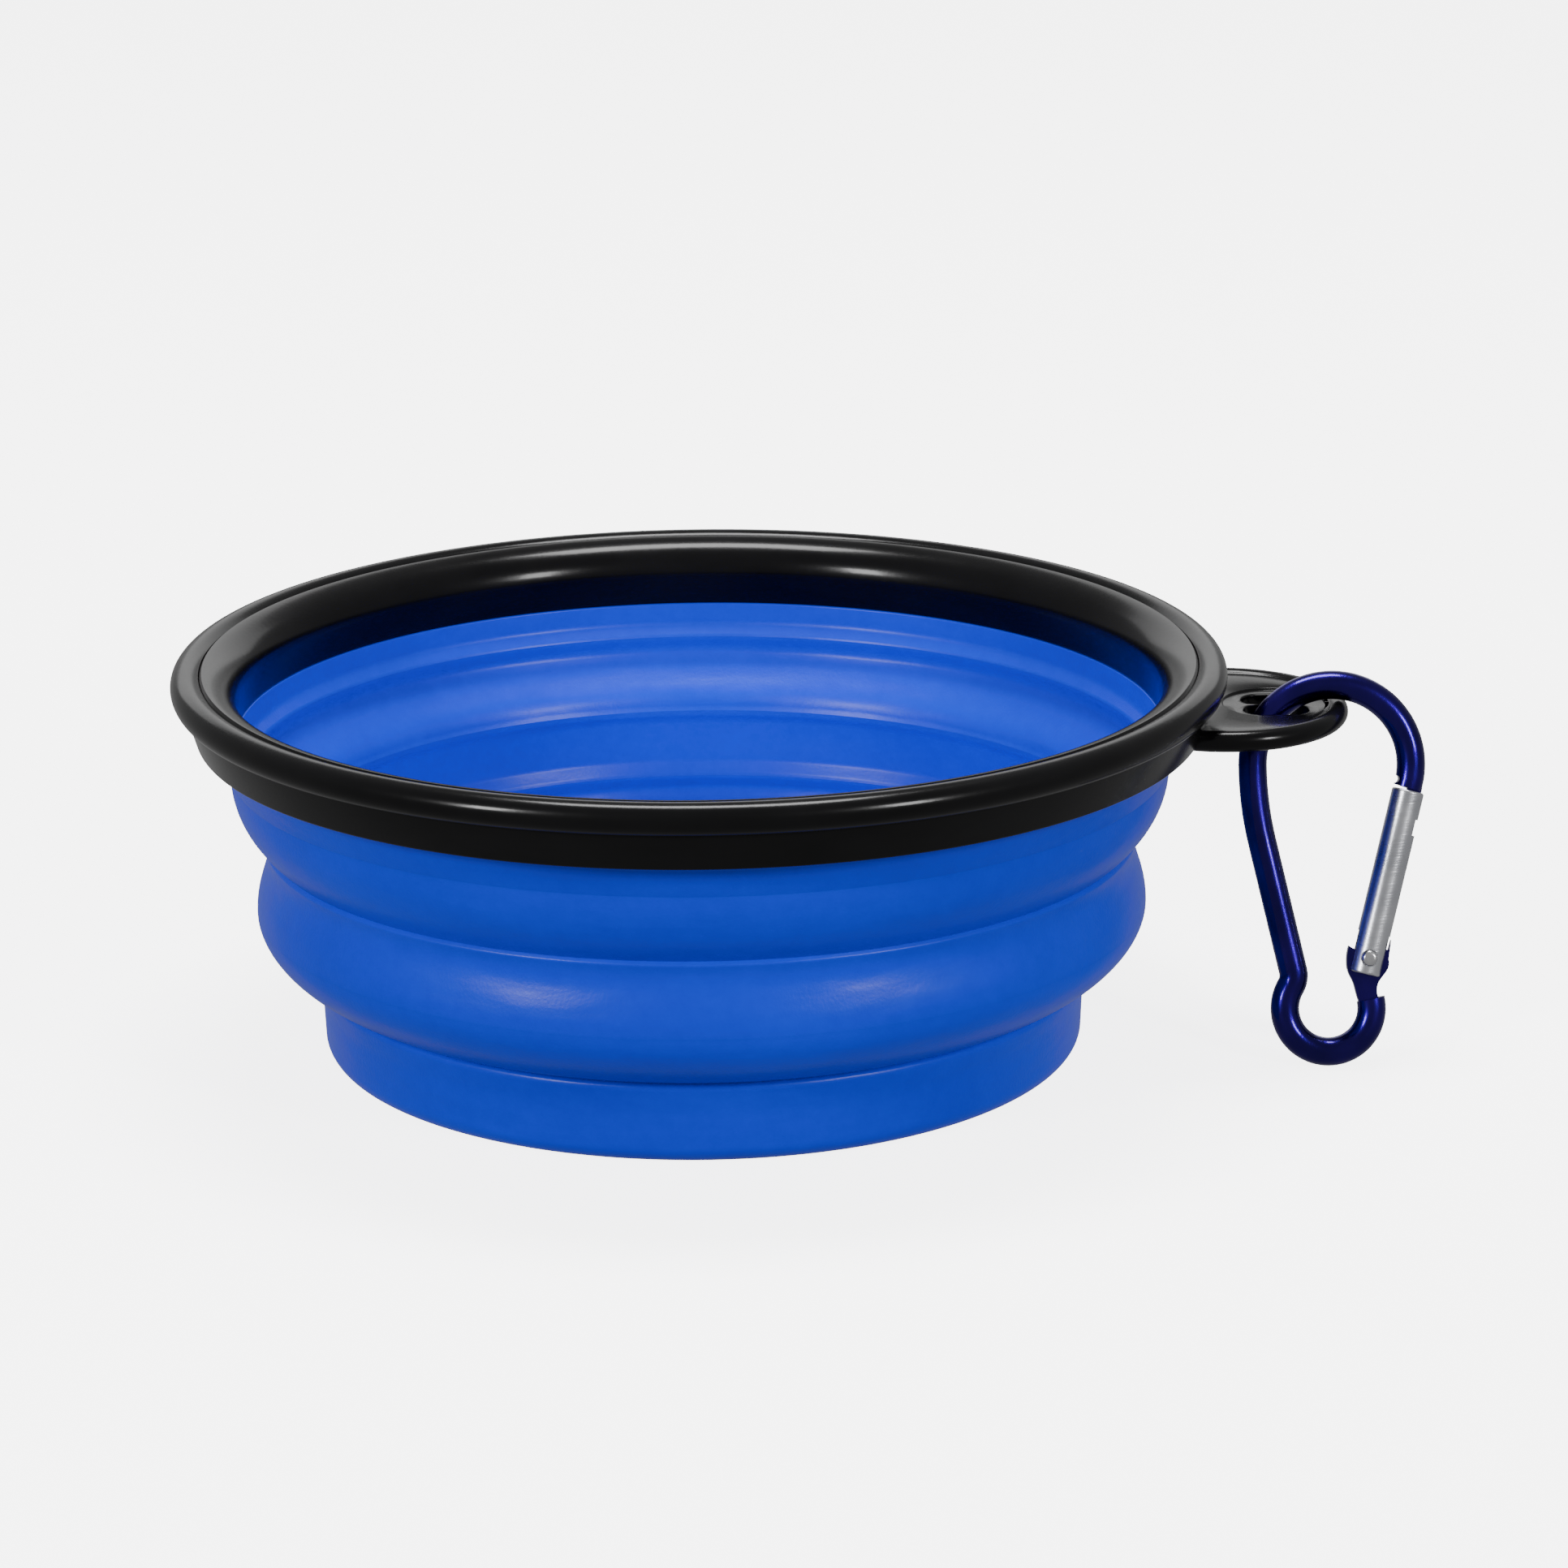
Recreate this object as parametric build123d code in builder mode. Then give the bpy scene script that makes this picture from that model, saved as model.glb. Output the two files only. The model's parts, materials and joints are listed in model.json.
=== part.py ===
from build123d import *
import os
from math import acos, asin, cos, degrees, radians, sin, sqrt

# Collapsible silicone travel bowl with a two-piece snap rim, a carry tab and a spring-gate carabiner.
# Millimetres. Origin: middle of the foot's underside. +Z up, the carry tab points along +X.

os.makedirs("parts", exist_ok=True)

# ---- heights of the silicone moulding, from the table up ----
foot_height = 10.5          # foot ring, up to the lower fold line
lower_fold_height = 8.1     # thin sweep between foot and middle tier
middle_height = 9.2         # stiff middle tier
upper_fold_height = 9.2     # thin sweep between middle tier and rim band
band_height = 4.3           # stiff band below the rim skirt
rim_height = 8.65           # rim above the skirt's lower edge

# ---- radii, from the rim inwards ----
rim_radius = 65.6           # outside of the rolled bead
bead_radius = 2.0           # section of the rolled bead
seam_inset = 3.5            # bead's outside to the joint line between the two rim rings
collar_taper = 1.35         # how far the collar leans out over its height
collar_inset = 3.0          # bead's outside to the collar's lower edge
collar_wall = 1.2
skirt_wall = 1.5            # inner ring, wall thickness
skirt_inset = 8.2           # bead's outside to the inner wall of the skirt
pass_clearance = 1.6        # skirt to middle tier when the bowl is folded
lower_step = 8.1            # middle tier to foot, radial step
upper_step = 1.25           # middle tier's widest place to its ridge below the upper fold
clamp_gap = 0.05            # silicone flange to the rings around it
band_flare = 1.4            # how far the band leans out up to the collar

# ---- silicone walls ----
tier_wall = 2.3
fold_wall = 1.5
floor_wall = 2.4
foot_round = 2.3
crease = 0.4                # depth of the groove at each fold line
foot_flare = 0.8            # how far the foot's top edge stands out

# ---- carry tab ----
tab_radius = 15.75
tab_centre_inset = 0.5      # the tab's circle is centred this far inside the bead's outside
tab_edge_radius = 1.35      # round edge bead of the tab
tab_web = 1.7               # plate inside the edge bead
tab_rise = 1.0              # tab's middle plane above the skirt's lower edge
tab_recess_radius = 6.5
tab_recess_depth = 0.3
hole_clearance = 0.7        # rod to the hole's ends
hole_side_clearance = 0.35  # rod to the hole's sides

# ---- carabiner ----
rod_radius = 1.78
bow_radius = 9.85           # centre line
bow_reach = 2.25            # the tab's tip stands this far out beyond the bow's centre
nose_angle = 18.0           # the bow runs this far below its centre on the gate side
leg_arc_radius = 42.0       # long soft bend from bow to back leg
leg_slope = 13.0            # degrees off the vertical
neck_radius = 2.6
loop_radius = 5.4           # centre line of the small end loop
loop_x = -0.69              # loop centre, from the bow's centre
loop_drop = 30.37
loop_end_angle = 12.0       # where the round rod stops and the tongue starts
rest_gap = 0.2              # bow to tab
floor_gap = 0.1             # loop to table

# ---- gate ----
rivet_x = 4.34              # from the bow's centre
rivet_drop = 24.13
gate_tilt = 14.0            # degrees off the vertical
gate_radius = 2.05
gate_tail = 2.1             # below the rivet
gate_gap = 0.25             # gate's top to the nose shoulder
bore_radius = 1.2
bore_depth = 12.5           # above the rivet
slide_clearance = 0.08
rivet_radius = 0.6
rivet_head_radius = 1.0
rivet_head_height = 0.6
pivot_clearance = 0.05
tongue_thickness = 1.5
tongue_top = 1.5            # flat that the plunger presses on, above the rivet
slot_clearance = 0.12       # gate slots to tongue and nose, each side
slot_top = 3.1
nose_thickness = 1.2
nose_length = 5.4
nose_head_radius = 0.75
nose_head_width = 2.3
plunger_gap = 0.02
plunger_head = 1.7
plunger_stem_radius = 0.5
plunger_stem = 3.6
wire_radius = 0.17
spring_radius = 0.85        # mean radius of the coil
spring_turns = 8

# ---- worked out from the sizes above ----
foot_top = foot_height
middle_bottom = foot_top + lower_fold_height
middle_top = middle_bottom + middle_height
band_bottom = middle_top + upper_fold_height
skirt_bottom = band_bottom + band_height
rim_top = skirt_bottom + rim_height

bead_centre_r = rim_radius - bead_radius
bead_centre_z = rim_top - bead_radius
seam_radius = rim_radius - seam_inset
collar_radius = rim_radius - collar_inset
collar_inner = collar_radius - collar_wall
skirt_inner = rim_radius - skirt_inset
skirt_outer = skirt_inner + skirt_wall
tier_radius = skirt_inner - pass_clearance
foot_radius = tier_radius - lower_step
ridge_radius = tier_radius - upper_step

collar_bottom = skirt_bottom + 0.2
crown_radius = seam_radius - skirt_inner          # round top of the inner ring
crown_z = rim_top - 0.35 - crown_radius
flange_top = crown_z + 0.9
lip_bottom = flange_top - 2.2                     # shoulder that the silicone bead hooks over
shoulder = 0.6


def revolved(outline):
    """The solid that a closed outline in the XZ plane makes round +Z."""
    with BuildPart() as piece:
        with BuildSketch(Plane.XZ):
            with BuildLine():
                outline()
            make_face()
        revolve(axis=Axis.Z)
    return piece.part


def slab(source, low, high, label):
    """The stretch of a solid between two heights, as its own piece."""
    with BuildPart() as piece:
        add(source)
        if low is not None:
            split(bisect_by=Plane.XY.offset(low), keep=Keep.TOP)
        if high is not None:
            split(bisect_by=Plane.XY.offset(high), keep=Keep.BOTTOM)
    save(piece.part, label)
    return piece.part


def save(part, label):
    """Label and write one piece."""
    part.label = label
    export_step(part, "parts/" + label + ".step")


# ---- silicone moulding: one piece, cut at its fold lines because its bands move ----
def moulding_outline():
    widest_z = middle_bottom + 0.8
    band_r = skirt_inner + 1.2                    # outside of the band where the upper fold ends
    fold_in = tier_radius - fold_wall
    wall_in = tier_radius - tier_wall
    floor_in = foot_radius - tier_wall
    # outside, from the middle of the floor upwards
    Polyline((0, floor_wall), (0, 0), (foot_radius - foot_round, 0))
    RadiusArc((foot_radius - foot_round, 0), (foot_radius, foot_round), -foot_round)
    Polyline(
        (foot_radius, foot_round),
        (foot_radius + 0.2, foot_top * 0.66),
        (foot_radius + foot_flare, foot_top - 0.8),
        (foot_radius + foot_flare - 0.1, foot_top - 0.4),
        (foot_radius + foot_flare - crease - 0.1, foot_top),
    )
    Bezier(
        (foot_radius + foot_flare - crease - 0.1, foot_top),
        (tier_radius - 0.45 * lower_step, foot_top + 0.17 * lower_fold_height),
        (tier_radius, foot_top + 0.6 * lower_fold_height),
        (tier_radius, widest_z),
    )
    Bezier(
        (tier_radius, widest_z),
        (tier_radius, widest_z + 0.39 * middle_height),
        (ridge_radius - 1.0, widest_z + 0.56 * middle_height),
        (ridge_radius + 0.15, middle_top - 0.4),
    )
    Polyline(
        (ridge_radius + 0.15, middle_top - 0.4),
        (ridge_radius - 0.2, middle_top),
        (ridge_radius + 0.05, middle_top + 0.25),
    )
    Bezier(
        (ridge_radius + 0.05, middle_top + 0.25),
        (ridge_radius + 0.6 * (band_r - ridge_radius), middle_top + 0.27 * upper_fold_height),
        (band_r, middle_top + 0.56 * upper_fold_height),
        (band_r, band_bottom),
    )
    # band, shoulder under the collar, and the flange clamped between the two rings
    Polyline(
        (band_r, band_bottom),
        (band_r + band_flare, skirt_bottom - 0.3),
        (collar_inner - clamp_gap, collar_bottom),
        (collar_inner - clamp_gap, lip_bottom - shoulder + clamp_gap),
        (seam_radius - clamp_gap, lip_bottom + clamp_gap),
        (seam_radius - clamp_gap, flange_top),
        (skirt_outer + 0.4, flange_top),
        (skirt_outer + clamp_gap, crown_z),
        (skirt_outer + clamp_gap, skirt_bottom),
        (skirt_inner, skirt_bottom),
        (band_r - tier_wall, band_bottom + crease),
        (band_r - fold_wall, band_bottom - 0.2),
    )
    # inside, downwards
    Bezier(
        (band_r - fold_wall, band_bottom - 0.2),
        (band_r - fold_wall, middle_top + 0.56 * upper_fold_height),
        (ridge_radius - fold_wall + 0.55 * (band_r - ridge_radius), middle_top + 0.3 * upper_fold_height),
        (ridge_radius - fold_wall, middle_top + crease),
    )
    Line(
        (ridge_radius - fold_wall, middle_top + crease),
        (ridge_radius - tier_wall, middle_top - 0.3),
    )
    Bezier(
        (ridge_radius - tier_wall, middle_top - 0.3),
        (ridge_radius - tier_wall - 0.9, widest_z + 0.56 * middle_height),
        (wall_in, widest_z + 0.39 * middle_height),
        (wall_in, middle_bottom + crease),
    )
    Line((wall_in, middle_bottom + crease), (fold_in, middle_bottom - 0.2))
    Bezier(
        (fold_in, middle_bottom - 0.2),
        (fold_in, foot_top + 0.66 * lower_fold_height),
        (tier_radius - 0.5 * lower_step, foot_top + 0.38 * lower_fold_height),
        (foot_radius, foot_top + fold_wall),
    )
    Polyline(
        (foot_radius, foot_top + fold_wall),
        (floor_in, foot_top - 0.6),
        (floor_in, floor_wall + foot_round),
    )
    RadiusArc((floor_in, floor_wall + foot_round), (floor_in - foot_round, floor_wall), foot_round)
    Line((floor_in - foot_round, floor_wall), (0, floor_wall))


moulding = revolved(moulding_outline)
bowl_foot = slab(moulding, None, foot_top, "bowl_foot")
lower_fold = slab(moulding, foot_top, middle_bottom, "lower_fold")
middle_tier = slab(moulding, middle_bottom, middle_top, "middle_tier")
upper_fold = slab(moulding, middle_top, band_bottom, "upper_fold")
upper_band = slab(moulding, band_bottom, None, "upper_band")


# ---- rim, inner ring: skirt inside the bowl and the rounded crown up to the joint line ----
def inner_ring_outline():
    leg = skirt_wall - 0.2                        # outer leg that presses on the flange
    hollow = crown_radius - skirt_wall
    hollow_angle = 180 - degrees(acos(leg / hollow))
    edge = 0.4                                    # rounded corner at the joint line
    crown_end = degrees(acos(edge / crown_radius))
    Polyline((skirt_inner, crown_z), (skirt_inner + 0.1, skirt_bottom), (skirt_outer, skirt_bottom),
             (skirt_outer, crown_z))
    CenterArc((seam_radius, crown_z), hollow, 180, hollow_angle - 180)
    Polyline(
        (seam_radius - leg, crown_z + sqrt(hollow**2 - leg**2)),
        (seam_radius - leg, flange_top),
        (seam_radius, flange_top),
        (seam_radius, crown_z + crown_radius - edge),
        (seam_radius - edge, crown_z + crown_radius * sin(radians(crown_end))),
    )
    CenterArc((seam_radius, crown_z), crown_radius, 180 - crown_end, crown_end)


rim_inner_ring = revolved(inner_ring_outline)
save(rim_inner_ring, "rim_inner_ring")


# ---- rim, outer ring: tapered collar, rolled bead and the carry tab, moulded in one ----
def outer_ring_outline():
    crease_angle = -80.0
    seam_angle = 180 - degrees(acos((bead_centre_r - seam_radius) / bead_radius))
    crease_r = bead_centre_r + bead_radius * cos(radians(crease_angle))
    crease_z = bead_centre_z + bead_radius * sin(radians(crease_angle))
    seam_z = bead_centre_z + bead_radius * sin(radians(seam_angle))
    Polyline(
        (seam_radius, seam_z),
        (seam_radius, lip_bottom),
        (collar_inner, lip_bottom - shoulder),
        (collar_inner, collar_bottom),
        (collar_radius - 0.25, collar_bottom),
        (collar_radius, collar_bottom + 0.25),
        (collar_radius + collar_taper, crease_z - 0.05),
        (crease_r, crease_z),
    )
    CenterArc((bead_centre_r, bead_centre_z), bead_radius, crease_angle, seam_angle - crease_angle)


# Where the carabiner lies: its bow rests on the tab's edge bead and its loop leans out to the table.
tab_centre_x = rim_radius - tab_centre_inset
tab_tip_x = tab_centre_x + tab_radius
tab_z = skirt_bottom + tab_rise
bow_x = tab_tip_x - bow_reach
bow_top_y = -1.1
bow_top_z = tab_z + tab_edge_radius + rest_gap + rod_radius
fall = bow_radius + loop_drop + loop_radius
drop = bow_top_z - rod_radius - floor_gap
lean = acos(min(1.0, drop / fall))                # upright if the loop hangs clear of the table
clip_plane = Plane(
    origin=(bow_x, bow_top_y - bow_radius * sin(lean), bow_top_z - bow_radius * cos(lean)),
    x_dir=(1, 0, 0),
    z_dir=(0, -cos(lean), sin(lean)),
)

# The rod crosses the tab's web on the bow's inner half; the hole clears it above and below.
half_web = tab_web / 2
web_up = (tab_z + half_web - clip_plane.origin.Z) / cos(lean)
web_down = (tab_z - half_web - clip_plane.origin.Z) / cos(lean)
rod_near = bow_x - sqrt((bow_radius - rod_radius) ** 2 - web_up**2)
rod_far = bow_x - sqrt((bow_radius + rod_radius) ** 2 - web_down**2)
hole_x = (rod_near + rod_far) / 2
hole_half_x = (rod_near - rod_far) / 2 + hole_clearance
rod_y = clip_plane.origin.Y + web_down * sin(lean)
hole_half_y = abs(rod_y) + rod_radius / cos(lean) + hole_side_clearance
# The hole is two pairs of round lobes, each wide enough for the rod.
lobe_radius = max(hole_half_y / 2, rod_radius / cos(lean) + hole_side_clearance)

with BuildPart() as rim_outer_ring:
    with BuildSketch(Plane.XY.offset(tab_z - half_web)):
        with Locations((tab_centre_x, 0)):
            Circle(tab_radius - tab_edge_radius)
    extrude(amount=tab_web)
    with BuildSketch(Plane.XZ):
        with Locations((tab_centre_x + tab_radius - tab_edge_radius, tab_z)):
            Circle(tab_edge_radius)
    revolve(axis=Axis((tab_centre_x, 0, 0), (0, 0, 1)))
    with BuildSketch(Plane.XY.offset(tab_z + half_web - tab_recess_depth)):
        with Locations((hole_x, 0)):
            Circle(tab_recess_radius)
    extrude(amount=tab_recess_depth, mode=Mode.SUBTRACT)
    with BuildSketch(Plane.XY.offset(tab_z - tab_edge_radius)):
        with Locations((hole_x, 0)):
            Rectangle(2 * (hole_half_x - lobe_radius), 2 * hole_half_y)
            with GridLocations(2 * (hole_half_x - lobe_radius), 2 * (hole_half_y - lobe_radius), 2, 2):
                Circle(lobe_radius)
    extrude(amount=2 * tab_edge_radius, mode=Mode.SUBTRACT)
    with BuildSketch(Plane.XY.offset(tab_z - tab_edge_radius)):
        Circle(collar_inner + 0.5 * collar_wall)
    extrude(amount=2 * tab_edge_radius, mode=Mode.SUBTRACT)
    add(revolved(outer_ring_outline))
save(rim_outer_ring.part, "rim_outer_ring")

# ---- carabiner frame: one bent rod with a flattened tongue at one end and a hooked nose at the other ----
gate_origin = clip_plane.from_local_coords((rivet_x, -rivet_drop, 0))
gate_axis = clip_plane.from_local_coords((sin(radians(gate_tilt)), cos(radians(gate_tilt)), 0))
gate_axis = gate_axis - clip_plane.origin
gate_side = gate_axis.cross(clip_plane.z_dir)     # points to the carabiner's outside
gate_plane = Plane(origin=gate_origin, x_dir=gate_side, z_dir=clip_plane.z_dir)

# Nose shoulder: where the bow's centre line ends, measured along the gate from the rivet.
nose_x = bow_radius * cos(radians(nose_angle)) - rivet_x
nose_y = rivet_drop - bow_radius * sin(radians(nose_angle))
nose_top = nose_x * sin(radians(gate_tilt)) + nose_y * cos(radians(gate_tilt))
gate_top = nose_top - gate_gap

# The back leg leaves the long bend here and runs straight to the neck.
slope = radians(leg_slope)
leg_x = -bow_radius + leg_arc_radius * (1 - cos(slope))
leg_y = -leg_arc_radius * sin(slope)
# Neck: an arc tangent to the leg and, from outside, to the loop.
side_x = leg_x - neck_radius * cos(slope) - loop_x
side_y = leg_y - neck_radius * sin(slope) + loop_drop
along = side_x * sin(slope) - side_y * cos(slope)
leg_length = -along - sqrt(along**2 - side_x**2 - side_y**2 + (loop_radius + neck_radius) ** 2)
neck_y = side_y - leg_length * cos(slope)
loop_start = 180 - degrees(asin(neck_y / (loop_radius + neck_radius)))
neck_turn = leg_slope + 180 - loop_start

with BuildPart() as carabiner_frame:
    with BuildLine(clip_plane) as rod_path:
        bow = CenterArc((0, 0), bow_radius, -nose_angle, 180 + nose_angle)
        bend = JernArc(bow @ 1, bow % 1, leg_arc_radius, leg_slope)
        leg = Line(bend @ 1, bend @ 1 + leg_length * (bend % 1))
        neck = JernArc(leg @ 1, leg % 1, neck_radius, -neck_turn)
        JernArc(neck @ 1, neck % 1, loop_radius, 360 - loop_start + loop_end_angle)
    with BuildSketch(Plane(origin=rod_path.line @ 0, z_dir=rod_path.line % 0)):
        Circle(rod_radius)
    sweep()
    # tongue: flattened end with a spur on the inside and a horn behind the gate
    with BuildSketch(gate_plane):
        with BuildLine():
            Spline((0.4, -6.0), (-0.5, -4.6), (-1.25, -3.3), (-2.0, -2.4), (-2.55, -1.1), (-2.75, 0.9))
            Polyline(
                (-2.75, 0.9),
                (-1.95, 0.62),
                (-1.2, tongue_top),
                (gate_radius + 0.1, tongue_top),
                (gate_radius + 0.15, 2.8),
                (gate_radius + 0.4, 0.4),
            )
            Spline((gate_radius + 0.4, 0.4), (gate_radius + 0.4, -1.35), (1.9, -2.7), (2.0, -3.9), (2.9, -5.1))
            Line((2.9, -5.1), (0.4, -6.0))
        make_face()
    extrude(amount=tongue_thickness / 2, both=True)
    with BuildSketch(gate_plane):
        Circle(rivet_radius + pivot_clearance)
    extrude(amount=rod_radius, both=True, mode=Mode.SUBTRACT)
    # relief groove on the inside of the nose shoulder
    with BuildSketch(gate_plane):
        with Locations((-rod_radius - 0.25, nose_top + 0.75)):
            Circle(0.5)
    extrude(amount=rod_radius, both=True, mode=Mode.SUBTRACT)
    # nose blade and the cross head that hooks into the gate
    with BuildSketch(gate_plane):
        with Locations((0.65, nose_top + 0.4 - (nose_length + 0.4) / 2)):
            Rectangle(1.8, nose_length + 0.4)
    extrude(amount=nose_thickness / 2, both=True)
    with BuildSketch(gate_plane):
        with Locations((0.75, nose_top - nose_length + nose_head_radius)):
            Circle(nose_head_radius)
    extrude(amount=nose_head_width / 2, both=True)
save(carabiner_frame.part, "carabiner_frame")

# ---- gate: round bar, bored from the rivet end, slotted for tongue and nose ----
across = Plane(origin=gate_origin - gate_tail * gate_axis, x_dir=gate_side, z_dir=gate_axis)
head_z = nose_top - nose_length
with BuildPart() as carabiner_gate:
    with BuildSketch(across):
        Circle(gate_radius)
    extrude(amount=gate_tail + gate_top)
    fillet(carabiner_gate.edges().filter_by(GeomType.CIRCLE), 0.3)
    with BuildSketch(across):
        Circle(bore_radius)
    extrude(amount=gate_tail + bore_depth, mode=Mode.SUBTRACT)
    with BuildSketch(gate_plane):
        with Locations((0, (slot_top - 2 * gate_tail) / 2)):
            Rectangle(3 * gate_radius, slot_top + 2 * gate_tail)
    extrude(amount=tongue_thickness / 2 + slot_clearance, both=True, mode=Mode.SUBTRACT)
    with BuildSketch(gate_plane):
        with Locations((gate_radius, (head_z - slot_clearance + gate_top) / 2 + 1)):
            Rectangle(2 * gate_radius + 1.2, gate_top - head_z + slot_clearance + 2)
    extrude(amount=nose_thickness / 2 + slot_clearance, both=True, mode=Mode.SUBTRACT)
    with BuildSketch(gate_plane):
        with Locations((gate_radius, head_z + nose_head_radius)):
            Rectangle(2 * gate_radius + 0.6, 2 * nose_head_radius + 0.5)
    extrude(amount=nose_head_width / 2 + slot_clearance, both=True, mode=Mode.SUBTRACT)
    with BuildSketch(gate_plane):
        Circle(rivet_radius)
    extrude(amount=gate_radius, both=True, mode=Mode.SUBTRACT)
    # flats that the rivet heads sit on
    for side in (1, -1):
        with BuildSketch(gate_plane.offset(side * (gate_radius - 0.3))):
            Circle(rivet_head_radius + 0.1)
        extrude(amount=side * 1.0, mode=Mode.SUBTRACT)
save(carabiner_gate.part, "carabiner_gate")

# ---- rivet: shank with a domed head each side ----
with BuildPart() as gate_rivet:
    with BuildSketch(gate_plane):
        Circle(rivet_radius)
    extrude(amount=gate_radius - 0.3, both=True)
    for side in (1, -1):
        with BuildSketch(gate_plane.offset(side * (gate_radius - 0.3))):
            Circle(rivet_head_radius)
        extrude(amount=side * rivet_head_height)
    heads = gate_rivet.edges().filter_by(GeomType.CIRCLE).sort_by(Axis(gate_origin, gate_plane.z_dir))
    fillet([heads[0], heads[-1]], rivet_head_height - 0.08)
save(gate_rivet.part, "gate_rivet")

# ---- plunger: head on the tongue's flat, stem inside the spring ----
plunger_base = tongue_top + plunger_gap
along_gate = Plane(origin=gate_origin + plunger_base * gate_axis, x_dir=gate_side, z_dir=gate_axis)
with BuildPart() as gate_plunger:
    with BuildSketch(along_gate):
        Circle(bore_radius - slide_clearance)
    extrude(amount=plunger_head)
    with BuildSketch(along_gate.offset(plunger_head)):
        Circle(plunger_stem_radius)
    extrude(amount=plunger_stem)
save(gate_plunger.part, "gate_plunger")

# ---- spring: a coil between the plunger's head and the end of the bore ----
spring_base = plunger_base + plunger_head + wire_radius + 0.03
spring_length = bore_depth - wire_radius - 0.03 - spring_base
spring_foot = gate_origin + spring_base * gate_axis
with BuildPart() as gate_spring:
    with BuildLine() as coil:
        Helix(spring_length / spring_turns, spring_length, spring_radius, spring_foot, gate_axis)
    with BuildSketch(Plane(origin=coil.line @ 0, z_dir=coil.line % 0)):
        Circle(wire_radius)
    sweep(is_frenet=True)
save(gate_spring.part, "gate_spring")
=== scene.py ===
import json
from math import acos, asin, cos, degrees, hypot, pi, radians, sin, sqrt

import bmesh
import bpy
from mathutils import Matrix, Vector


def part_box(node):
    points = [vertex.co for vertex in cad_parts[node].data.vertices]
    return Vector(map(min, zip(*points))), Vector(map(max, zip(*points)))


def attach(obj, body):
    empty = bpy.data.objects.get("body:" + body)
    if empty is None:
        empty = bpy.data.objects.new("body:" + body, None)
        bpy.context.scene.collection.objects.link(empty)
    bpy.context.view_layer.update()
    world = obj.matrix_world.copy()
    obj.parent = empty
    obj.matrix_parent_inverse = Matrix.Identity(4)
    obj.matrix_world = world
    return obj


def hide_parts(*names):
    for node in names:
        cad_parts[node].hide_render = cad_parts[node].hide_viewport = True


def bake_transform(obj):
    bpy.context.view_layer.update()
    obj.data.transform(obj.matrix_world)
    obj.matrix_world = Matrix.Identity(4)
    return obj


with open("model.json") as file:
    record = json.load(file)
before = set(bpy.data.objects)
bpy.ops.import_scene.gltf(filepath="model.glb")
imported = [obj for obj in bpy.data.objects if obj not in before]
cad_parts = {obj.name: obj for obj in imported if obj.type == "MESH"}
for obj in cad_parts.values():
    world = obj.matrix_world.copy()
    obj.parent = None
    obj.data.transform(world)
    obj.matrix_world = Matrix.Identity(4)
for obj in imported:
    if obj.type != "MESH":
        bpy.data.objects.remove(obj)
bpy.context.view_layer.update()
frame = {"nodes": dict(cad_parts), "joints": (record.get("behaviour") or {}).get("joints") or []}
scene = bpy.context.scene
mm = 0.001
sameSpot = 0.002 * mm     # points this close together are one
joints = {joint["name"]: joint for joint in frame["joints"]}
print("frame loaded:", len(frame["nodes"]), "nodes")


class Sock:
    # a node's socket that takes part in plain arithmetic
    def __init__(self, tree, socket):
        self.tree = tree
        self.socket = socket

    def calc(self, operation, first, second):
        kind = "ShaderNodeMath"
        return self.tree.node(kind, {"operation": operation}, {0: first, 1: second})

    def __add__(self, other):
        return self.calc("ADD", self, other)

    def __radd__(self, other):
        return self.calc("ADD", other, self)

    def __mul__(self, other):
        return self.calc("MULTIPLY", self, other)

    def __gt__(self, other):
        return self.calc("GREATER_THAN", self, other)

    def __mod__(self, other):
        return self.calc("FLOORED_MODULO", self, other)


class Tree:
    # a node tree, for shaders and geometry alike
    def __init__(self, tree):
        self.tree = tree

    def node(self, kind, settings=None, values=None, out=0):
        made = self.tree.nodes.new(kind)
        for name, value in (settings or {}).items():
            if name == "stops":
                fillRamp(made.color_ramp, value)
            else:
                setattr(made, name, value)
        for name, value in (values or {}).items():
            if isinstance(value, Sock):
                self.tree.links.new(value.socket, made.inputs[name])
            else:
                made.inputs[name].default_value = value
        return Sock(self, made.outputs[out]) if len(made.outputs) else made

    def other(self, sock, name):
        # another output of the node that a socket belongs to
        return Sock(self, sock.socket.node.outputs[name])


def fillRamp(ramp, stops):
    while len(ramp.elements) < len(stops):
        ramp.elements.new(0.5)
    for element, (place, colour) in zip(ramp.elements, stops):
        element.position = place
        element.color = colour if len(colour) == 4 else (*colour, 1)


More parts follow.
